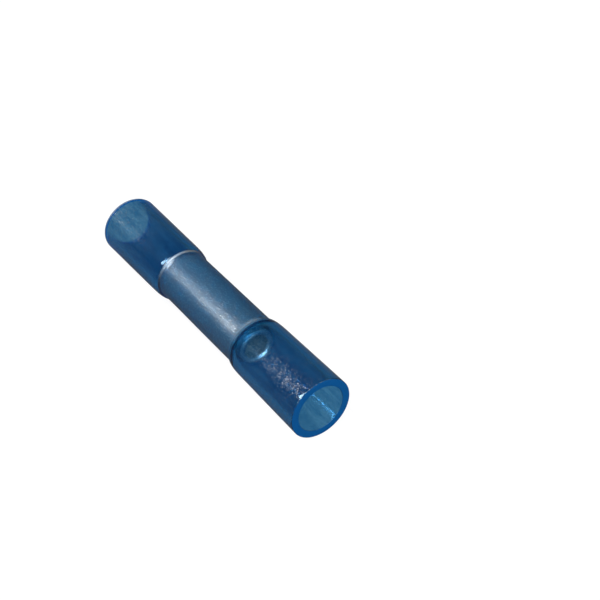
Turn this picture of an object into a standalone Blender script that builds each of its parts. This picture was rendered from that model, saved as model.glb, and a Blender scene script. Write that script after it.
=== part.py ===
"""Insulated butt splice connector, which joins two wires end to end.

A tin-plated copper barrel takes a stripped wire from each side. A dimple pressed into its middle
stops both. A translucent blue heat-shrink sleeve holds the barrel in its waist and reaches past it
at both ends, where it is later shrunk onto the insulation of the wires.

The connector lies along X, on its side, with the middle of its underside at the origin.
Metres, +Z up.
"""

import math

import bmesh
import bpy

# Barrel
BARREL_LENGTH = 0.0153
BARREL_BORE = 0.0026
BARREL_WALL = 0.00065
BARREL_EDGE_ROUNDING = 0.00025

# Dimple that stops the wires, pressed into the underside of the barrel
STOP_DEPTH = 0.0008
STOP_LENGTH = 0.0030
STOP_WIDTH = 0.0030

# Sleeve
SLEEVE_LENGTH = 0.0360
BARREL_CLEARANCE = 0.00025
WAIST_WALL = 0.00065
WIDE_WALL = 0.00080
WIDE_BORE_STEP = 0.00030
SHOULDER_LENGTH = 0.0016
BARREL_PAST_WAIST = 0.00095
SLEEVE_EDGE_ROUNDING = 0.00015

# Fineness of the round surfaces
SIDES = 24
SHOULDER_STEPS = 8
ROUNDING_STEPS = 3
STOP_STEPS = 8

# How a shoulder leaves the waist: 1 is a plain slope, less is a steeper step, more is a fillet
SHOULDER_FOOT = 0.6

# Radii and half lengths that follow from the sizes above
BORE_RADIUS = BARREL_BORE / 2
BARREL_RADIUS = BORE_RADIUS + BARREL_WALL
WAIST_BORE_RADIUS = BARREL_RADIUS + BARREL_CLEARANCE
WAIST_RADIUS = WAIST_BORE_RADIUS + WAIST_WALL
WIDE_BORE_RADIUS = WAIST_BORE_RADIUS + WIDE_BORE_STEP
WIDE_RADIUS = WIDE_BORE_RADIUS + WIDE_WALL
BARREL_HALF = BARREL_LENGTH / 2
SLEEVE_HALF = SLEEVE_LENGTH / 2
WAIST_HALF = BARREL_HALF - BARREL_PAST_WAIST

# The flats of the many-sided rings lie at the true radius, and one flat faces straight down
HALF_SIDE_ANGLE = math.pi / SIDES
CORNER_FACTOR = 1 / math.cos(HALF_SIDE_ANGLE)


def clear_scene():
    for old_object in list(bpy.data.objects):
        bpy.data.objects.remove(old_object, do_unlink=True)


def make_material(name, colour, roughness, metallic):
    material = bpy.data.materials.new(name)
    material.use_nodes = True
    surface = material.node_tree.nodes["Principled BSDF"]
    surface.inputs["Base Color"].default_value = (*colour, 1.0)
    surface.inputs["Roughness"].default_value = roughness
    surface.inputs["Metallic"].default_value = metallic
    return material


def rounded_edge(half_length, radius, rounding, outer):
    """Points round the edge of a cut end, in the order that an outline runs: out, then back in."""
    side = 1 if outer else -1
    points = []
    for step in range(ROUNDING_STEPS + 1):
        share = step / ROUNDING_STEPS
        angle = (1 - share if outer else share) * math.pi / 2
        along = half_length - rounding + rounding * math.cos(angle)
        across = radius - side * rounding + side * rounding * math.sin(angle)
        points.append((along, across))
    return points


def shoulder(waist_radius, wide_radius):
    """Points from the waist out to a wide end: a short steep step, then a round crown."""
    points = []
    for step in range(SHOULDER_STEPS + 1):
        share = step / SHOULDER_STEPS
        rise = math.sin(share**SHOULDER_FOOT * math.pi / 2)
        along = WAIST_HALF + share * SHOULDER_LENGTH
        points.append((along, waist_radius + rise * (wide_radius - waist_radius)))
    return points


def mirrored_outline(right_half):
    """The closed section of a tube's wall, from the half of it at +X, outer side first."""
    left_half = [(-along, across) for along, across in reversed(right_half)]
    if right_half[0][0] == 0:
        left_half = left_half[:-1]
    if right_half[-1][0] == 0:
        left_half = left_half[1:]
    return right_half + left_half


def turned_mesh(name, outline):
    """Spins a closed section round the X axis into one closed body."""
    shape = bmesh.new()
    corners = []
    for along, across in outline:
        reach = across * CORNER_FACTOR
        side = reach * math.sin(HALF_SIDE_ANGLE)
        up = reach * math.cos(HALF_SIDE_ANGLE)
        corners.append(shape.verts.new((along, side, up)))
    for index, corner in enumerate(corners):
        shape.edges.new((corners[index - 1], corner))
    bmesh.ops.spin(
        shape,
        geom=shape.verts[:] + shape.edges[:],
        cent=(0, 0, 0),
        axis=(1, 0, 0),
        angle=2 * math.pi,
        steps=SIDES,
        use_merge=True,
    )
    bmesh.ops.recalc_face_normals(shape, faces=shape.faces[:])
    mesh = bpy.data.meshes.new(name)
    shape.to_mesh(mesh)
    shape.free()
    mesh.shade_smooth()
    mesh.set_sharp_from_angle(angle=math.radians(35))
    return mesh


def sleeve_mesh():
    outer = shoulder(WAIST_RADIUS, WIDE_RADIUS)
    outer += rounded_edge(SLEEVE_HALF, WIDE_RADIUS, SLEEVE_EDGE_ROUNDING, outer=True)
    inner = rounded_edge(SLEEVE_HALF, WIDE_BORE_RADIUS, SLEEVE_EDGE_ROUNDING, outer=False)
    inner += reversed(shoulder(WAIST_BORE_RADIUS, WIDE_BORE_RADIUS))
    return turned_mesh("heat_shrink_sleeve", mirrored_outline(outer + inner))


def stop_dent(along, around):
    """How deep the stop's dimple is at a place along the barrel and around it, in metres."""
    if abs(along) >= STOP_LENGTH / 2 or abs(around) >= STOP_WIDTH / 2:
        return 0.0
    along_share = math.cos(math.pi * along / STOP_LENGTH) ** 2
    around_share = math.cos(math.pi * around / STOP_WIDTH) ** 2
    return STOP_DEPTH * along_share * around_share


def barrel_mesh():
    stop_rings = [STOP_LENGTH / 2 * step / STOP_STEPS for step in range(STOP_STEPS + 1)]
    outer = [(along, BARREL_RADIUS) for along in stop_rings]
    outer += rounded_edge(BARREL_HALF, BARREL_RADIUS, BARREL_EDGE_ROUNDING, outer=True)
    inner = rounded_edge(BARREL_HALF, BORE_RADIUS, BARREL_EDGE_ROUNDING, outer=False)
    inner += [(along, BORE_RADIUS) for along in reversed(stop_rings)]
    mesh = turned_mesh("crimp_barrel", mirrored_outline(outer + inner))

    # Both sides of the wall are pushed in together, so the wall keeps its thickness
    for vertex in mesh.vertices:
        along, side, up = vertex.co
        reach = math.hypot(side, up)
        around = BARREL_RADIUS * math.atan2(side, -up)
        share_left = 1 - stop_dent(along, around) / reach
        vertex.co = (along, side * share_left, up * share_left)
    mesh.update()
    return mesh


def place(mesh, material, carrier):
    piece = bpy.data.objects.new(mesh.name, mesh)
    piece.data.materials.append(material)
    piece.parent = carrier
    bpy.context.collection.objects.link(piece)


def main():
    clear_scene()

    # Both pieces share one axis, which lies as high above the table as the wide ends reach down
    wire_axis = bpy.data.objects.new("wire_axis", None)
    wire_axis.location = (0, 0, WIDE_RADIUS)
    bpy.context.collection.objects.link(wire_axis)

    blue_plastic = make_material("translucent_blue_plastic", (0.005, 0.09, 0.30), 0.25, 0.0)
    tinned_copper = make_material("tinned_copper", (0.72, 0.74, 0.76), 0.35, 1.0)
    place(sleeve_mesh(), blue_plastic, wire_axis)
    place(barrel_mesh(), tinned_copper, wire_axis)


main()
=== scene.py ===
"""Dresses the butt splice connector: a translucent blue heat-shrink sleeve round a tin-plated barrel.

The file is laid out as an add-on and run as a script. Each piece of the connector and the stage
have an operator of their own, and the sizes and colours that a user would change are properties of
the scene. Metres, +Z up. The connector lies along X with the middle of its underside at the origin.
"""

import math

import bmesh
import bpy
from bpy.props import FloatProperty, FloatVectorProperty, IntProperty, PointerProperty
from mathutils import Matrix, Vector


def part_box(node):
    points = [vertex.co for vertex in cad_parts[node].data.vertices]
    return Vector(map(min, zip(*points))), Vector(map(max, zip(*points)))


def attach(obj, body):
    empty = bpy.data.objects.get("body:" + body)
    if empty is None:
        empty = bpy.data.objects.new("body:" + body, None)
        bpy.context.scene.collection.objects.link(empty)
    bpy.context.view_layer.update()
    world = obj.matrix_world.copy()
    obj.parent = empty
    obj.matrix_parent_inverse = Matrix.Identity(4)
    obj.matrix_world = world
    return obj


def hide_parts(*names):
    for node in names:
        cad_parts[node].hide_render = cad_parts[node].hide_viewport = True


bl_info = {
    "name": "Butt splice connector",
    "version": (1, 0, 0),
    "blender": (4, 5, 0),
    "location": "3D View > Sidebar > Connector",
    "description": "Makes a translucent heat-shrink butt connector and a plain stage for it",
    "category": "Add Mesh",
}

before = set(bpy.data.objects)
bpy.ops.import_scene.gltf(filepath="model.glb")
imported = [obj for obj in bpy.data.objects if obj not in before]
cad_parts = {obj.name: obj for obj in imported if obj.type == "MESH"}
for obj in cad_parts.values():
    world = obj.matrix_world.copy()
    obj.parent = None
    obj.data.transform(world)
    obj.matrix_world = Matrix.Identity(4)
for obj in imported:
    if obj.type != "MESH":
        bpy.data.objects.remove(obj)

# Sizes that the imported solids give
SLEEVE_LOW, SLEEVE_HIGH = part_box("heat_shrink_sleeve")
BARREL_LOW, BARREL_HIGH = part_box("crimp_barrel")
AXIS_HEIGHT = (SLEEVE_LOW.z + SLEEVE_HIGH.z) / 2
WIDE_DIAMETER = SLEEVE_HIGH.z - SLEEVE_LOW.z
SLEEVE_LENGTH = SLEEVE_HIGH.x - SLEEVE_LOW.x
BARREL_LENGTH = BARREL_HIGH.x - BARREL_LOW.x
BARREL_DIAMETER = BARREL_HIGH.z - BARREL_LOW.z
MIDDLE = Vector((0.0, 0.0, AXIS_HEIGHT))

WHITE = (1.0, 1.0, 1.0, 1.0)
BLACK = (0.0, 0.0, 0.0, 1.0)

# Range that the noise of the fine lines mostly covers
LINE_LOW = 0.3
LINE_HIGH = 0.7


class SleeveSettings(bpy.types.PropertyGroup):
    """Sizes and colour of the heat-shrink sleeve."""

    waist_diameter: FloatProperty(
        name="Waist Diameter",
        description="Outside of the waist that holds the barrel",
        default=0.0057,
        unit="LENGTH",
    )
    waist_bore: FloatProperty(
        name="Waist Bore",
        description="Inside of the waist, a hair under the barrel's outside, because the waist grips it",
        default=0.00386,
        unit="LENGTH",
    )
    wide_bore: FloatProperty(
        name="Wide Bore",
        description="Inside of the open ends",
        default=0.0050,
        unit="LENGTH",
    )
    waist_length: FloatProperty(
        name="Waist Length",
        description="Straight part of the waist, from one shoulder's foot to the other's",
        default=0.0134,
        unit="LENGTH",
    )
    step_length: FloatProperty(
        name="Step Length",
        description="Length of the steep step at the foot of a shoulder",
        default=0.00014,
        unit="LENGTH",
    )
    step_height: FloatProperty(
        name="Step Height",
        description="How far that step stands up from the waist",
        default=0.00019,
        unit="LENGTH",
    )
    crown_length: FloatProperty(
        name="Crown Length",
        description="Length over which the shoulder rounds off above its step",
        default=0.0005,
        unit="LENGTH",
    )
    flare: FloatProperty(
        name="Flare",
        description="How much further out the lip lies than the shoulder's crown",
        default=0.00012,
        unit="LENGTH",
    )
    edge_rounding: FloatProperty(
        name="Edge Rounding",
        description="Radius on the edges of the cut ends",
        default=0.00006,
        unit="LENGTH",
    )
    unevenness: FloatProperty(
        name="Unevenness",
        description="How far the drawn tube's wall wanders inwards",
        default=0.00003,
        unit="LENGTH",
    )
    sides: IntProperty(
        name="Sides",
        description="Faces round the sleeve",
        default=160,
        min=12,
    )
    tint: FloatVectorProperty(
        name="Tint",
        description="Colour that the surface gives to light that passes one wall",
        default=(0.13, 0.37, 0.58),
        subtype="COLOR",
        min=0.0,
        max=1.0,
    )
    waist_tint: FloatVectorProperty(
        name="Waist Tint",
        description="The same on the waist, where the tube has shrunk and its wall is denser",
        default=(0.015, 0.29, 0.58),
        subtype="COLOR",
        min=0.0,
        max=1.0,
    )
    cut_colour: FloatVectorProperty(
        name="Cut Ends",
        description="Colour of the sawn faces at the open ends",
        default=(0.0, 0.056, 0.19),
        subtype="COLOR",
        min=0.0,
        max=1.0,
    )
    bloom: FloatProperty(
        name="Bloom",
        description="Strength of the pale satin film on the waist, at its heavier end",
        default=1.0,
        subtype="FACTOR",
        min=0.0,
        max=1.0,
    )


class BarrelSettings(bpy.types.PropertyGroup):
    """Sizes and colour of the crimp barrel."""

    bore: FloatProperty(
        name="Bore",
        description="Inside of the barrel",
        default=0.0026,
        unit="LENGTH",
    )
    edge_rounding: FloatProperty(
        name="Edge Rounding",
        description="Radius on the edges of the barrel's ends",
        default=0.00025,
        unit="LENGTH",
    )
    stop_depth: FloatProperty(
        name="Stop Depth",
        description="Depth of the dimple that stops the wires",
        default=0.0008,
        unit="LENGTH",
    )
    stop_width: FloatProperty(
        name="Stop Width",
        description="Size of the dimple, along the barrel and round it",
        default=0.0030,
        unit="LENGTH",
    )
    sides: IntProperty(
        name="Sides",
        description="Faces round the barrel",
        default=128,
        min=12,
    )
    tin: FloatVectorProperty(
        name="Tin",
        description="Colour of the tin plating",
        default=(0.80, 0.81, 0.82),
        subtype="COLOR",
        min=0.0,
        max=1.0,
    )
    rim: FloatVectorProperty(
        name="Rim",
        description="Colour of the barrel's rounded rims, where the tin is rubbed bright",
        default=(0.90, 0.86, 0.83),
        subtype="COLOR",
        min=0.0,
        max=1.0,
    )


class StageSettings(bpy.types.PropertyGroup):
    """Camera and light."""

    azimuth: FloatProperty(
        name="Camera Azimuth",
        description="Direction that the camera looks from, 0 along +Y",
        default=math.radians(55.15),
        subtype="ANGLE",
    )
    elevation: FloatProperty(
        name="Camera Elevation",
        description="How steeply the camera looks down",
        default=math.radians(38.27),
        subtype="ANGLE",
    )
    distance: FloatProperty(
        name="Camera Distance",
        description="From the camera to the middle of the connector, along the camera's axis",
        default=0.12935,
        unit="LENGTH",
    )
    focal_length: FloatProperty(
        name="Focal Length",
        description="In millimetres, on a sensor 36 mm wide",
        default=76.6,
    )
    room_strength: FloatProperty(
        name="Room Light",
        description="Brightness of the room beyond both ends of the connector, where 1 is white",
        default=1.2,
    )
    key_strength: FloatProperty(
        name="Softbox",
        description="Brightness of the softbox's face, where 1 is a white surface in plain light",
        default=17.5,
    )
    strip_strength: FloatProperty(
        name="Strip Light",
        description="Brightness of the narrow light overhead, on the same scale",
        default=20.0,
    )
    end_strength: FloatProperty(
        name="End Light",
        description="Brightness of the lamp that shines into the near mouth, on the same scale",
        default=30.0,
    )


def feed(tree, socket, value):
    """Links a socket to another one, or gives it a plain value."""
    if isinstance(value, bpy.types.NodeSocket):
        tree.links.new(value, socket)
    else:
        socket.default_value = value


def calculate(tree, operation, *values):
    """A Math node on the values. Returns its result."""
    node = tree.nodes.new("ShaderNodeMath")
    node.operation = operation
    for socket, value in zip(node.inputs, values):
        feed(tree, socket, value)
    return node.outputs[0]


def vector_calculate(tree, operation, first, second=None):
    """A Vector Math node. Returns its vector, or its number for a length."""
    node = tree.nodes.new("ShaderNodeVectorMath")
    node.operation = operation
    feed(tree, node.inputs[0], first)
    if second is not None:
        feed(tree, node.inputs[1], second)
    return node.outputs["Value"] if operation == "LENGTH" else node.outputs["Vector"]


def ramp(tree, value, low, high, result_low=0.0, result_high=1.0):
    """Maps a value from one range to another, and holds it at the ends. Returns the result."""
    node = tree.nodes.new("ShaderNodeMapRange")
    node.clamp = True
    for name, number in (
        ("Value", value),
        ("From Min", low),
        ("From Max", high),
        ("To Min", result_low),
        ("To Max", result_high),
    ):
        feed(tree, node.inputs[name], number)
    return node.outputs["Result"]


def blend_colours(tree, share, first, second):
    """Mixes two colours. Returns the result."""
    node = tree.nodes.new("ShaderNodeMix")
    node.data_type = "RGBA"
    feed(tree, node.inputs[0], share)
    feed(tree, node.inputs[6], first)
    feed(tree, node.inputs[7], second)
    return node.outputs[2]


def turning_tree():
    """Geometry Nodes that turn a closed section round the wire axis and let its wall wander a little."""
    tree = bpy.data.node_groups.new("turned_wall", "GeometryNodeTree")
    face = tree.interface
    face.new_socket("Geometry", in_out="INPUT", socket_type="NodeSocketGeometry")
    for name, kind in (
        ("Sides", "NodeSocketInt"),
        ("Axis Height", "NodeSocketFloat"),
        ("Unevenness", "NodeSocketFloat"),
        ("Wander Size", "NodeSocketFloat"),
        ("Seed", "NodeSocketFloat"),
        ("Material", "NodeSocketMaterial"),
    ):
        face.new_socket(name, in_out="INPUT", socket_type=kind)
    face.new_socket("Geometry", in_out="OUTPUT", socket_type="NodeSocketGeometry")
    nodes = tree.nodes
    given = nodes.new("NodeGroupInput").outputs
    result = nodes.new("NodeGroupOutput").inputs

    # A sheet with a row for each point of the section and a column for each side
    count = nodes.new("GeometryNodeAttributeDomainSize")
    feed(tree, count.inputs["Geometry"], given["Geometry"])
    columns = calculate(tree, "ADD", given["Sides"], 1.0)
    sheet = nodes.new("GeometryNodeMeshGrid")
    feed(tree, sheet.inputs["Vertices X"], calculate(tree, "ADD", count.outputs["Point Count"], 1.0))
    feed(tree, sheet.inputs["Vertices Y"], columns)
    index = nodes.new("GeometryNodeInputIndex").outputs["Index"]
    row = calculate(tree, "FLOOR", calculate(tree, "DIVIDE", calculate(tree, "ADD", index, 0.5), columns))
    column = calculate(tree, "SUBTRACT", index, calculate(tree, "MULTIPLY", row, columns))

    # Each row takes its place in the section, and each column its turn round the axis
    section = nodes.new("GeometryNodeSampleIndex")
    section.data_type = "FLOAT_VECTOR"
    feed(tree, section.inputs["Geometry"], given["Geometry"])
    feed(tree, section.inputs["Value"], nodes.new("GeometryNodeInputPosition").outputs["Position"])
    feed(tree, section.inputs["Index"], calculate(tree, "MODULO", row, count.outputs["Point Count"]))
    place = nodes.new("ShaderNodeSeparateXYZ")
    feed(tree, place.inputs[0], section.outputs["Value"])
    turn = calculate(tree, "MULTIPLY", calculate(tree, "DIVIDE", column, given["Sides"]), math.tau)
    level = nodes.new("ShaderNodeCombineXYZ")
    feed(tree, level.inputs["X"], place.outputs["X"])
    feed(tree, level.inputs["Y"], calculate(tree, "SINE", turn))
    feed(tree, level.inputs["Z"], calculate(tree, "COSINE", turn))

    # The wall wanders inwards, by a noise that is the same on both of its sides
    stretched = nodes.new("ShaderNodeCombineXYZ")
    feed(tree, stretched.inputs["X"], calculate(tree, "DIVIDE", place.outputs["X"], given["Wander Size"]))
    feed(tree, stretched.inputs["Y"], calculate(tree, "SINE", turn))
    feed(tree, stretched.inputs["Z"], calculate(tree, "COSINE", turn))
    noise = nodes.new("ShaderNodeTexNoise")
    noise.noise_dimensions = "4D"
    feed(tree, noise.inputs["Vector"], stretched.outputs[0])
    feed(tree, noise.inputs["W"], given["Seed"])
    feed(tree, noise.inputs["Scale"], 1.0)
    feed(tree, noise.inputs["Detail"], 1.0)
    inwards = calculate(tree, "MULTIPLY", noise.outputs[0], given["Unevenness"])
    across = calculate(tree, "SUBTRACT", place.outputs["Y"], inwards)
    turned = nodes.new("ShaderNodeCombineXYZ")
    feed(tree, turned.inputs["X"], place.outputs["X"])
    feed(tree, turned.inputs["Y"], calculate(tree, "MULTIPLY", across, calculate(tree, "SINE", turn)))
    up = calculate(tree, "MULTIPLY", across, calculate(tree, "COSINE", turn))
    feed(tree, turned.inputs["Z"], calculate(tree, "ADD", up, given["Axis Height"]))
    placed = nodes.new("GeometryNodeSetPosition")
    feed(tree, placed.inputs["Geometry"], sheet.outputs["Mesh"])
    feed(tree, placed.inputs["Position"], turned.outputs[0])

    # The first and last row and column meet, and the sheet closes
    touching = 1e-7
    joined = nodes.new("GeometryNodeMergeByDistance")
    feed(tree, joined.inputs["Geometry"], placed.outputs["Geometry"])
    feed(tree, joined.inputs["Distance"], touching)
    smooth = nodes.new("GeometryNodeSetShadeSmooth")
    feed(tree, smooth.inputs["Geometry"], joined.outputs["Geometry"])
    finish = nodes.new("GeometryNodeSetMaterial")
    feed(tree, finish.inputs["Geometry"], smooth.outputs["Geometry"])
    feed(tree, finish.inputs["Material"], given["Material"])
    real = nodes.new("GeometryNodeRealizeInstances")
    feed(tree, real.inputs["Geometry"], finish.outputs["Geometry"])
    feed(tree, result["Geometry"], real.outputs["Geometry"])
    return tree


def shared_tree(name, maker):
    """The node group of that name, built once."""
    if name not in bpy.data.node_groups:
        maker()
    return bpy.data.node_groups[name]


def turned_piece(name, section, material, **inputs):
    """One closed mesh object, turned from a section of (along, across) points."""
    outline = bpy.data.meshes.new(name + "_section")
    outline.from_pydata([(along, across, 0.0) for along, across in section], [], [])
    piece = bpy.data.objects.new(name, outline)
    bpy.context.collection.objects.link(piece)
    modifier = piece.modifiers.new("Turned wall", "NODES")
    modifier.node_group = shared_tree("turned_wall", turning_tree)
    values = {"Axis Height": AXIS_HEIGHT, "Material": material, **inputs}
    for socket in modifier.node_group.interface.items_tree:
        if socket.in_out == "INPUT" and socket.name in values:
            modifier[socket.identifier] = values[socket.name]

    evaluated = piece.evaluated_get(bpy.context.evaluated_depsgraph_get())
    mesh = bpy.data.meshes.new_from_object(evaluated)
    mesh.name = name
    mesh.materials.clear()
    mesh.materials.append(material)
    mesh.polygons.foreach_set("material_index", [0] * len(mesh.polygons))
    piece.modifiers.clear()
    piece.data = mesh
    bpy.data.meshes.remove(outline)

    shape = bmesh.new()
    shape.from_mesh(mesh)
    bmesh.ops.recalc_face_normals(shape, faces=shape.faces[:])
    shape.to_mesh(mesh)
    shape.free()
    return piece


def straight_run(start, end, across, spacing):
    """Points along a straight stretch of a wall, without its first one."""
    steps = max(1, round(abs(end - start) / spacing))
    return [(start + (end - start) * step / steps, across) for step in range(1, steps + 1)]


def rounded_edge(half_length, radius, rounding, outer, steps=5):
    """Points round the edge of a cut end, in the order that a section runs: out, then back in."""
    side = 1 if outer else -1
    points = []
    for step in range(steps + 1):
        share = step / steps
        angle = (1 - share if outer else share) * math.pi / 2
        along = half_length - rounding + rounding * math.cos(angle)
        across = radius - side * rounding + side * rounding * math.sin(angle)
        points.append((along, across))
    return points


def shoulder(settings, waist_radius, lip_radius, flare, steps=16):
    """Points from the waist's foot to the lip: a steep step, a soft crown and a slow flare."""
    foot = settings.waist_length / 2
    step_end = foot + settings.step_length
    reach = SLEEVE_LENGTH / 2 - settings.edge_rounding - step_end
    softness = 1.5
    points = []
    for step in range(steps + 1):
        share = step / steps
        rise = math.sin(share * math.pi / 2) ** softness
        points.append((foot + share * settings.step_length, waist_radius + rise * settings.step_height))

    # The crown comes up towards a line that slopes out to the lip, with more points near its foot
    crown_rise = lip_radius - flare - waist_radius - settings.step_height
    crown_steps = 3 * steps
    crowding = 1.7
    for step in range(1, crown_steps + 1):
        share = (step / crown_steps) ** crowding
        left_to_rise = crown_rise * math.exp(-share * reach / settings.crown_length)
        points.append((step_end + share * reach, lip_radius - flare * (1 - share) - left_to_rise))
    return points


def mirrored_section(right_half):
    """The closed section of a tube's wall, from the half of it at +X, outer side first."""
    left_half = [(-along, across) for along, across in reversed(right_half)]
    return right_half + left_half[1:-1]


def sleeve_section(settings, spacing=0.0005):
    """Section of the sleeve's wall: waist, shoulder, wide end and rounded lips, mirrored to -X."""
    foot = settings.waist_length / 2
    lip = SLEEVE_LENGTH / 2
    rounding = settings.edge_rounding
    wide = WIDE_DIAMETER / 2
    waist = settings.waist_diameter / 2
    wide_bore = settings.wide_bore / 2
    waist_bore = settings.waist_bore / 2
    bore_flare = settings.flare * 2 / 3

    points = [(0.0, waist)] + straight_run(0.0, foot, waist, spacing)[:-1]
    points += shoulder(settings, waist, wide, settings.flare)[:-1]
    points += rounded_edge(lip, wide, rounding, outer=True)
    points += rounded_edge(lip, wide_bore, rounding, outer=False)[:-1]
    points += reversed(shoulder(settings, waist_bore, wide_bore, bore_flare))
    points += straight_run(foot, 0.0, waist_bore, spacing)
    return mirrored_section(points)


def barrel_section(settings, spacing=0.00025):
    """Section of the barrel's wall, with rounded ends."""
    half = BARREL_LENGTH / 2
    rounding = settings.edge_rounding
    radius = BARREL_DIAMETER / 2
    bore = settings.bore / 2
    points = [(0.0, radius)] + straight_run(0.0, half - rounding, radius, spacing)[:-1]
    points += rounded_edge(half, radius, rounding, outer=True)
    points += rounded_edge(half, bore, rounding, outer=False)
    points += straight_run(half - rounding, 0.0, bore, spacing)
    return mirrored_section(points)


def press_stop(mesh, settings):
    """Pushes the dimple that stops the wires into the underside, both sides of the wall together."""
    radius = BARREL_DIAMETER / 2
    for vertex in mesh.vertices:
        along, side, height = vertex.co
        up = height - AXIS_HEIGHT
        around = radius * math.atan2(side, -up)
        if max(abs(along), abs(around)) >= settings.stop_width / 2:
            continue
        along_share = math.cos(math.pi * along / settings.stop_width) ** 2
        around_share = math.cos(math.pi * around / settings.stop_width) ** 2
        dent = settings.stop_depth * along_share * around_share
        share_left = 1 - dent / math.hypot(side, up)
        vertex.co = (along, side * share_left, AXIS_HEIGHT + up * share_left)
    mesh.update()


def grain_group():
    """Shader nodes for the fine lines that drawing or turning leaves, and for specks between them."""
    tree = bpy.data.node_groups.new("fine_grain", "ShaderNodeTree")
    face = tree.interface
    face.new_socket("Place", in_out="INPUT", socket_type="NodeSocketVector")
    face.new_socket("Lines", in_out="INPUT", socket_type="NodeSocketVector")
    face.new_socket("Specks", in_out="INPUT", socket_type="NodeSocketFloat")
    face.new_socket("Line Height", in_out="OUTPUT", socket_type="NodeSocketFloat")
    face.new_socket("Speck Mask", in_out="OUTPUT", socket_type="NodeSocketFloat")
    given = tree.nodes.new("NodeGroupInput").outputs
    result = tree.nodes.new("NodeGroupOutput").inputs

    lines = tree.nodes.new("ShaderNodeTexNoise")
    feed(tree, lines.inputs["Vector"], vector_calculate(tree, "MULTIPLY", given["Place"], given["Lines"]))
    feed(tree, lines.inputs["Scale"], 1.0)
    feed(tree, lines.inputs["Detail"], 3.0)
    feed(tree, lines.inputs["Roughness"], 0.6)
    speck_edge = 0.7
    speck_core = 0.1
    specks = tree.nodes.new("ShaderNodeTexVoronoi")
    feed(tree, specks.inputs["Vector"], given["Place"])
    feed(tree, specks.inputs["Scale"], given["Specks"])
    dots = ramp(tree, specks.outputs["Distance"], speck_edge, speck_core)
    chance = tree.nodes.new("ShaderNodeSeparateColor")
    feed(tree, chance.inputs[0], specks.outputs["Color"])
    feed(tree, result["Line Height"], lines.outputs[0])
    feed(tree, result["Speck Mask"], calculate(tree, "MULTIPLY", dots, chance.outputs[0]))
    return tree


def new_material(name):
    """A new material. Returns it, its tree, its Principled BSDF and its output."""
    material = bpy.data.materials.new(name)
    material.use_nodes = True
    tree = material.node_tree
    return material, tree, tree.nodes["Principled BSDF"], tree.nodes["Material Output"]


def grain(tree, place, lines, specks):
    """The fine_grain group in a material, with its lines and specks per metre. Returns its two outputs."""
    node = tree.nodes.new("ShaderNodeGroup")
    node.node_tree = shared_tree("fine_grain", grain_group)
    feed(tree, node.inputs["Place"], place)
    feed(tree, node.inputs["Lines"], lines)
    feed(tree, node.inputs["Specks"], specks)
    return node.outputs["Line Height"], node.outputs["Speck Mask"]


def bump(tree, height, distance, strength=1.0, normal=None):
    """A Bump node, over another normal where one is given. Returns its normal."""
    node = tree.nodes.new("ShaderNodeBump")
    feed(tree, node.inputs["Height"], height)
    feed(tree, node.inputs["Distance"], distance)
    feed(tree, node.inputs["Strength"], strength)
    if normal is not None:
        feed(tree, node.inputs["Normal"], normal)
    return node.outputs["Normal"]


def from_middle(tree):
    """A point's place, how far it lies from the middle along X, and how far from the wire axis."""
    place = tree.nodes.new("ShaderNodeTexCoord").outputs["Object"]
    split = tree.nodes.new("ShaderNodeSeparateXYZ")
    feed(tree, split.inputs[0], place)
    from_axis = vector_calculate(tree, "SUBTRACT", place, (0.0, 0.0, AXIS_HEIGHT))
    radial = vector_calculate(tree, "MULTIPLY", from_axis, (0.0, 1.0, 1.0))
    return place, split.outputs["X"], vector_calculate(tree, "LENGTH", radial)


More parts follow.
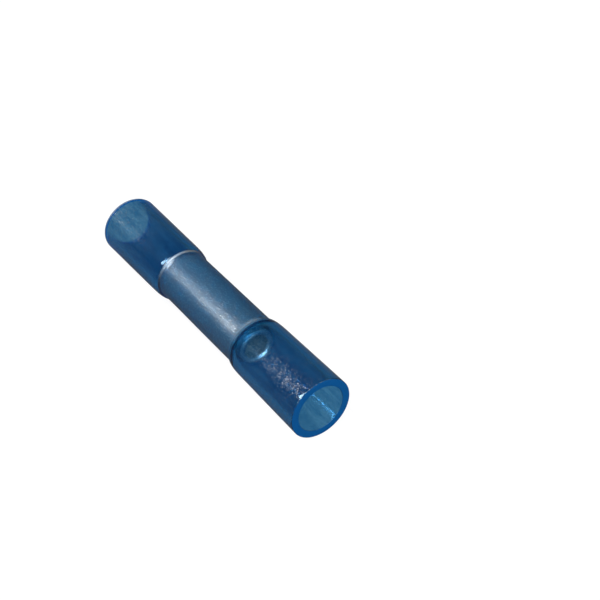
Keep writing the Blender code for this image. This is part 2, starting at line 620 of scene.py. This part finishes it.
def blue_plastic(settings):
    """Clear blue polyolefin: glossy wide ends, a satin waist and a speckled lining of adhesive."""
    material, tree, surface, output = new_material("translucent_blue_plastic")
    place, along, reach = from_middle(tree)
    drawn_lines = (200.0, 1500.0, 1500.0)
    lines, specks = grain(tree, place, lines=drawn_lines, specks=5500.0)

    # Where the surface is: 1 on the lining, 1 on the waist's outside
    wall_middle = (settings.wide_bore + settings.waist_diameter) / 4
    fade = 0.0001
    lining = calculate(tree, "LESS_THAN", reach, wall_middle)
    foot = settings.waist_length / 2
    off_middle = calculate(tree, "ABSOLUTE", along)
    step_end = foot + settings.step_length
    on_waist = ramp(tree, off_middle, step_end, step_end + fade, 1.0, 0.0)
    waist = calculate(tree, "MULTIPLY", on_waist, calculate(tree, "SUBTRACT", 1.0, lining))

    gloss_roughness = 0.06
    waist_extra = 0.30
    lining_extra = 0.08
    rough = calculate(tree, "ADD", gloss_roughness, calculate(tree, "MULTIPLY", waist, waist_extra))
    rough = calculate(tree, "ADD", rough, calculate(tree, "MULTIPLY", lining, lining_extra))
    feed(tree, surface.inputs["Roughness"], rough)

    # Pale grains of adhesive on the lining, and paler specks in the shrunk wall
    adhesive = (0.92, 0.96, 1.0, 1.0)
    streak_weight = 0.5
    speck_gain = 1.9
    streaks = calculate(tree, "MULTIPLY", ramp(tree, lines, 0.45, 0.65), streak_weight)
    grains = calculate(tree, "MULTIPLY", calculate(tree, "ADD", specks, streaks), lining)
    dusty = blend_colours(tree, grains, (*settings.tint, 1.0), adhesive)
    pale = tuple(min(1.0, speck_gain * channel) for channel in settings.waist_tint)
    shrunk = blend_colours(tree, specks, (*settings.waist_tint, 1.0), (*pale, 1.0))
    feed(tree, surface.inputs["Base Color"], blend_colours(tree, waist, dusty, shrunk))
    surface.inputs["IOR"].default_value = 1.5
    surface.inputs["Specular Tint"].default_value = (0.5, 0.8, 1.0, 1.0)
    surface.inputs["Transmission Weight"].default_value = 1.0
    speck_depth = 0.00002
    grain_depth = 0.000004
    peel = bump(tree, specks, speck_depth)
    satin = bump(tree, calculate(tree, "MULTIPLY", specks, waist), speck_depth)
    feed(tree, surface.inputs["Normal"], bump(tree, grains, grain_depth, 0.5, satin))

    # The pale film on the waist is uneven, and thicker towards the end at +X
    thin_film = 0.7
    between_specks = 0.7
    film = calculate(tree, "MULTIPLY", ramp(tree, along, -foot, foot, thin_film, settings.bloom), waist)
    film = calculate(tree, "MULTIPLY", film, ramp(tree, specks, 0.0, 1.0, between_specks, 1.0))

    # The glossy wide ends carry a thin dusting, and the lip at -X is rubbed pale
    glossy = calculate(tree, "SUBTRACT", calculate(tree, "SUBTRACT", 1.0, lining), waist)
    dusting_start = 0.009
    dusting_end = 0.015
    least_dust = 0.05
    most_dust = 0.8
    handled = ramp(tree, off_middle, dusting_start, dusting_end, least_dust, most_dust)
    dust = calculate(tree, "MULTIPLY", glossy, calculate(tree, "MULTIPLY", specks, handled))
    lip = SLEEVE_LENGTH / 2
    rub_reach = 0.00035
    rub_core = 0.00015
    rubbed = calculate(tree, "MULTIPLY", glossy, ramp(tree, along, rub_reach - lip, rub_core - lip))
    film = calculate(tree, "MAXIMUM", calculate(tree, "ADD", film, dust), rubbed)
    feed(tree, surface.inputs["Coat Weight"], film)
    feed(tree, surface.inputs["Coat Normal"], peel)
    surface.inputs["Coat Tint"].default_value = (0.85, 1.0, 0.92, 1.0)
    surface.inputs["Coat Roughness"].default_value = 0.31
    surface.inputs["Coat IOR"].default_value = 2.7

    absorption = tree.nodes.new("ShaderNodeVolumeAbsorption")
    absorption.inputs["Color"].default_value = (0.0, 0.54, 0.773, 1.0)
    absorption.inputs["Density"].default_value = 528.0
    feed(tree, output.inputs["Volume"], absorption.outputs["Volume"])
    return material


def cut_plastic(settings):
    """The sawn end faces: dull deep blue with fine saw marks, and a painted blue glow where seen through
    the wall.
    """
    material, tree, surface, _ = new_material("cut_blue_plastic")
    place = tree.nodes.new("ShaderNodeTexCoord").outputs["Object"]
    saw_marks = (500.0, 3000.0, 12000.0)
    saw_depth = 0.000004
    speck_shade = 0.8
    lines, specks = grain(tree, place, lines=saw_marks, specks=6000.0)
    deep = tuple(speck_shade * channel for channel in settings.cut_colour)
    shade = blend_colours(tree, specks, (*settings.cut_colour, 1.0), (*deep, 1.0))
    feed(tree, surface.inputs["Base Color"], shade)
    smoothest = 0.5
    roughest = 0.65
    rough = ramp(tree, lines, LINE_LOW, LINE_HIGH, smoothest, roughest)
    feed(tree, surface.inputs["Roughness"], rough)
    surface.inputs["Specular IOR Level"].default_value = 0.1

    # Painted glow: the faces give off blue light where seen from inside the wall, in place of light that
    # would enter through the cut
    inside = tree.nodes.new("ShaderNodeNewGeometry").outputs["Backfacing"]
    painted_glow_blue = (0.0, 0.16, 0.38, 1.0)
    glow = blend_colours(tree, inside, BLACK, painted_glow_blue)
    feed(tree, surface.inputs["Emission Color"], glow)
    surface.inputs["Emission Strength"].default_value = 1.0
    feed(tree, surface.inputs["Normal"], bump(tree, lines, saw_depth, 0.5))
    return material


def cut_the_ends(mesh, material):
    """Gives the flat faces at both open ends the material of a cut."""
    mesh.materials.append(material)
    cut_depth = 0.0001
    least_facing = 0.8
    for face in mesh.polygons:
        at_the_end = abs(face.center.x) > SLEEVE_LENGTH / 2 - cut_depth
        if at_the_end and abs(face.normal.x) > least_facing:
            face.material_index = 1


def tinned_copper(settings):
    """Tin plating over fine turning marks: matt under the waist and in the bore, bright on the rims."""
    material, tree, surface, _ = new_material("tinned_copper")
    place, along, reach = from_middle(tree)
    turning_marks = (14000.0, 500.0, 500.0)
    turning_depth = 0.000012
    lines, specks = grain(tree, place, lines=turning_marks, specks=5000.0)

    # Where the surface is: 1 on the free rim, 1 on the rim and in the bore
    end = BARREL_LENGTH / 2
    rim_start = end - 0.0008
    rim_full = end - 0.0004
    wall_middle = (settings.bore + BARREL_DIAMETER) / 4
    free = ramp(tree, calculate(tree, "ABSOLUTE", along), rim_start, rim_full)
    in_bore = calculate(tree, "LESS_THAN", reach, wall_middle)
    exposed = calculate(tree, "MAXIMUM", free, in_bore)

    speck_shade = 0.85
    worn_tin = tuple(speck_shade * channel for channel in settings.tin)
    gripped = blend_colours(tree, specks, (*settings.tin, 1.0), (*worn_tin, 1.0))
    feed(tree, surface.inputs["Base Color"], blend_colours(tree, free, gripped, (*settings.rim, 1.0)))
    gripped_metal = 0.5
    bore_metal = 0.3
    metallic = ramp(tree, exposed, 0.0, 1.0, gripped_metal, bore_metal)
    feed(tree, surface.inputs["Metallic"], calculate(tree, "MAXIMUM", metallic, free))
    smoothest = 0.75
    roughest = 0.95
    rim_polish = 0.48
    matt = ramp(tree, lines, LINE_LOW, LINE_HIGH, smoothest, roughest)
    polish = calculate(tree, "MULTIPLY", free, rim_polish)
    feed(tree, surface.inputs["Roughness"], calculate(tree, "SUBTRACT", matt, polish))
    feed(tree, surface.inputs["Normal"], bump(tree, lines, turning_depth, 0.8))
    return material


class CONNECTOR_OT_sleeve(bpy.types.Operator):
    """Make the heat-shrink sleeve with its waist and two open ends"""

    bl_idname = "connector.sleeve"
    bl_label = "Heat-shrink Sleeve"

    def execute(self, context):
        settings = context.scene.connector_sleeve
        sleeve = turned_piece(
            "sleeve",
            sleeve_section(settings),
            blue_plastic(settings),
            Sides=settings.sides,
            Unevenness=settings.unevenness,
            **{"Wander Size": 0.006, "Seed": 3.0},
        )
        cut_the_ends(sleeve.data, cut_plastic(settings))
        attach(sleeve, "root")
        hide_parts("heat_shrink_sleeve")
        return {"FINISHED"}


class CONNECTOR_OT_barrel(bpy.types.Operator):
    """Make the tin-plated barrel with its stop"""

    bl_idname = "connector.barrel"
    bl_label = "Crimp Barrel"

    def execute(self, context):
        settings = context.scene.connector_barrel
        barrel = turned_piece(
            "barrel",
            barrel_section(settings),
            tinned_copper(settings),
            Sides=settings.sides,
            Unevenness=0.0,
        )
        press_stop(barrel.data, settings)
        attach(barrel, "root")
        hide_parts("crimp_barrel")
        return {"FINISHED"}


def direction(azimuth, elevation):
    """Unit vector from the connector towards a camera or light, at an azimuth and an elevation."""
    level = math.cos(elevation)
    return Vector((math.sin(azimuth) * level, -math.cos(azimuth) * level, math.sin(elevation)))


def aim(thing, place, target):
    """Puts a camera or a lamp at a place and turns it towards a target."""
    thing.location = place
    thing.rotation_euler = (place - target).to_track_quat("Z", "Y").to_euler()


def make_camera(settings):
    """The photograph's view: 600 pixels square, with the connector's middle at a measured pixel."""
    picture_size = 600
    middle_pixel = (217.6, 308.6)
    sensor = 36.0
    data = bpy.data.cameras.new("camera")
    data.lens = settings.focal_length
    data.sensor_width = sensor
    data.clip_start = 0.001
    camera = bpy.data.objects.new("camera", data)
    bpy.context.collection.objects.link(camera)
    back = direction(settings.azimuth, settings.elevation)
    right = Vector((math.cos(settings.azimuth), math.sin(settings.azimuth), 0.0))
    up = back.cross(right)
    metres_per_pixel = settings.distance * sensor / settings.focal_length / picture_size
    aside = (middle_pixel[0] - picture_size / 2) * metres_per_pixel
    below = (middle_pixel[1] - picture_size / 2) * metres_per_pixel
    target = MIDDLE - right * aside + up * below
    aim(camera, target + back * settings.distance, target)
    bpy.context.scene.camera = camera


def make_floor():
    """White floor to the camera, in the connector's blue shade through the plastic, and dark otherwise."""
    half = 2.0
    gap = 0.00001
    mesh = bpy.data.meshes.new("floor")
    corners = [(-half, -half), (half, -half), (half, half), (-half, half)]
    mesh.from_pydata([(x, y, -gap) for x, y in corners], [], [(0, 1, 2, 3)])
    floor = bpy.data.objects.new("floor", mesh)
    bpy.context.collection.objects.link(floor)
    material, tree, surface, output = new_material("white_floor")
    surface.inputs["Roughness"].default_value = 1.0
    surface.inputs["Specular IOR Level"].default_value = 0.0
    rays = tree.nodes.new("ShaderNodeLightPath").outputs

    # The lit paint, which shows the shadow: pale to the camera, and dark to all other rays
    dark = 0.04
    pale = 0.8
    grey = ramp(tree, rays["Is Camera Ray"], 0.0, 1.0, dark, pale)
    paint = tree.nodes.new("ShaderNodeCombineColor")
    for channel in ("Red", "Green", "Blue"):
        feed(tree, paint.inputs[channel], grey)
    feed(tree, surface.inputs["Base Color"], paint.outputs[0])

    # A glow is mixed over it, with a share for each kind of ray
    camera_share = 0.85
    mirrored_share = 0.07
    through_share = 0.42
    blue_shade = (0.5, 0.8, 1.0, 1.0)
    share = calculate(tree, "MULTIPLY", rays["Is Camera Ray"], camera_share)
    mirrored = calculate(tree, "MULTIPLY", rays["Is Glossy Ray"], mirrored_share)
    share = calculate(tree, "MAXIMUM", share, mirrored)
    through = ramp(tree, rays["Transmission Depth"], 0.0, 1.0)
    share = calculate(tree, "MAXIMUM", share, calculate(tree, "MULTIPLY", through, through_share))
    white = tree.nodes.new("ShaderNodeEmission")
    white.inputs["Strength"].default_value = 1.08
    feed(tree, white.inputs["Color"], blend_colours(tree, through, WHITE, blue_shade))
    mix = tree.nodes.new("ShaderNodeMixShader")
    feed(tree, mix.inputs[0], share)
    feed(tree, mix.inputs[1], surface.outputs[0])
    feed(tree, mix.inputs[2], white.outputs[0])
    feed(tree, output.inputs["Surface"], mix.outputs[0])
    mesh.materials.append(material)


def make_world(settings):
    """White to the camera, and otherwise a dark room that is bright beyond both ends of the connector."""
    world = bpy.data.worlds.new("room")
    world.use_nodes = True
    bpy.context.scene.world = world
    tree = world.node_tree
    tree.nodes.clear()
    split = tree.nodes.new("ShaderNodeSeparateXYZ")
    feed(tree, split.inputs[0], tree.nodes.new("ShaderNodeTexCoord").outputs["Generated"])
    beyond_near_end = ramp(tree, split.outputs["X"], 0.1, 0.6)
    beyond_far_end = ramp(tree, split.outputs["X"], -0.78, -0.9)
    bright = calculate(tree, "MAXIMUM", beyond_near_end, beyond_far_end)
    rays = tree.nodes.new("ShaderNodeLightPath").outputs
    dim_outside = 0.04
    dim_through_plastic = 0.3
    dim = ramp(tree, rays["Transmission Depth"], 0.0, 1.0, dim_outside, dim_through_plastic)
    strength = ramp(tree, bright, 0.0, 1.0, dim, settings.room_strength)
    room = tree.nodes.new("ShaderNodeBackground")
    feed(tree, room.inputs["Strength"], strength)
    room.inputs["Color"].default_value = WHITE
    white = tree.nodes.new("ShaderNodeBackground")
    white.inputs["Color"].default_value = WHITE
    mix = tree.nodes.new("ShaderNodeMixShader")
    feed(tree, mix.inputs[0], rays["Is Camera Ray"])
    feed(tree, mix.inputs[1], room.outputs[0])
    feed(tree, mix.inputs[2], white.outputs[0])
    feed(tree, tree.nodes.new("ShaderNodeOutputWorld").inputs["Surface"], mix.outputs[0])


def make_lamp(name, width, height, brightness):
    """A rectangular lamp whose face has the given brightness, where 1 is a white surface in plain light."""
    data = bpy.data.lights.new(name, "AREA")
    data.shape = "RECTANGLE"
    data.size = width
    data.size_y = height
    data.energy = brightness * math.pi * width * height
    lamp = bpy.data.objects.new(name, data)
    bpy.context.collection.objects.link(lamp)
    return lamp


def make_softbox(settings):
    """The main light: a tall, narrow softbox to the left of the camera."""
    width = 0.05
    height = 0.22
    distance = 0.30
    back = direction(azimuth=math.radians(-35), elevation=math.radians(48.7))
    lamp = make_lamp("softbox", width, height, settings.key_strength)
    aim(lamp, MIDDLE + back * distance, MIDDLE)


def make_strip(settings):
    """A long narrow light overhead that crosses the connector and draws a thin line on each rim."""
    width = 0.01
    length = 1.0
    distance = 0.35
    lamp = make_lamp("strip", width, length, settings.strip_strength)
    out = Vector((0.28, -0.30, 0.80)).normalized()
    along = (Vector((0.0, 1.0, 0.0)) - out * out.y).normalized()
    turn = Matrix((along.cross(out), along, out)).transposed().to_4x4()
    lamp.matrix_world = Matrix.Translation(MIDDLE + out * distance) @ turn


def make_end_light(settings):
    """A lamp that faces the near mouth and lights the barrel's end through it."""
    side = 0.08
    distance = 0.30
    back = direction(azimuth=math.radians(88), elevation=math.radians(8))
    lamp = make_lamp("end_light", side, side, settings.end_strength)
    aim(lamp, MIDDLE + back * distance, MIDDLE)


class CONNECTOR_OT_stage(bpy.types.Operator):
    """Make the camera, the white floor and the lights"""

    bl_idname = "connector.stage"
    bl_label = "Stage"

    def execute(self, context):
        settings = context.scene.connector_stage
        make_camera(settings)
        make_floor()
        make_world(settings)
        make_softbox(settings)
        make_strip(settings)
        make_end_light(settings)
        context.scene.view_settings.view_transform = "Standard"
        return {"FINISHED"}


class CONNECTOR_PT_panel(bpy.types.Panel):
    """The connector's operators and settings"""

    bl_idname = "CONNECTOR_PT_panel"
    bl_label = "Butt Splice Connector"
    bl_space_type = "VIEW_3D"
    bl_region_type = "UI"
    bl_category = "Connector"

    def draw(self, context):
        for operator, name in OPERATORS:
            settings = getattr(context.scene, name)
            box = self.layout.box()
            box.operator(operator.bl_idname)
            for setting in settings.bl_rna.properties.keys():
                if setting not in ("rna_type", "name"):
                    box.prop(settings, setting)


OPERATORS = (
    (CONNECTOR_OT_sleeve, "connector_sleeve"),
    (CONNECTOR_OT_barrel, "connector_barrel"),
    (CONNECTOR_OT_stage, "connector_stage"),
)
SETTINGS = {
    "connector_sleeve": SleeveSettings,
    "connector_barrel": BarrelSettings,
    "connector_stage": StageSettings,
}
CLASSES = (
    *SETTINGS.values(),
    *(operator for operator, name in OPERATORS),
    CONNECTOR_PT_panel,
)


def register():
    """Adds the classes, and the settings to the scene."""
    for one in CLASSES:
        bpy.utils.register_class(one)
    for name, group in SETTINGS.items():
        setattr(bpy.types.Scene, name, PointerProperty(type=group))


def unregister():
    """Takes both away again."""
    for name in SETTINGS:
        delattr(bpy.types.Scene, name)
    for one in reversed(CLASSES):
        bpy.utils.unregister_class(one)


def main():
    """Makes the connector and its stage."""
    register()
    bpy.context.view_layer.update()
    bpy.ops.connector.sleeve()
    bpy.ops.connector.barrel()
    bpy.ops.connector.stage()


if __name__ == "__main__":
    main()
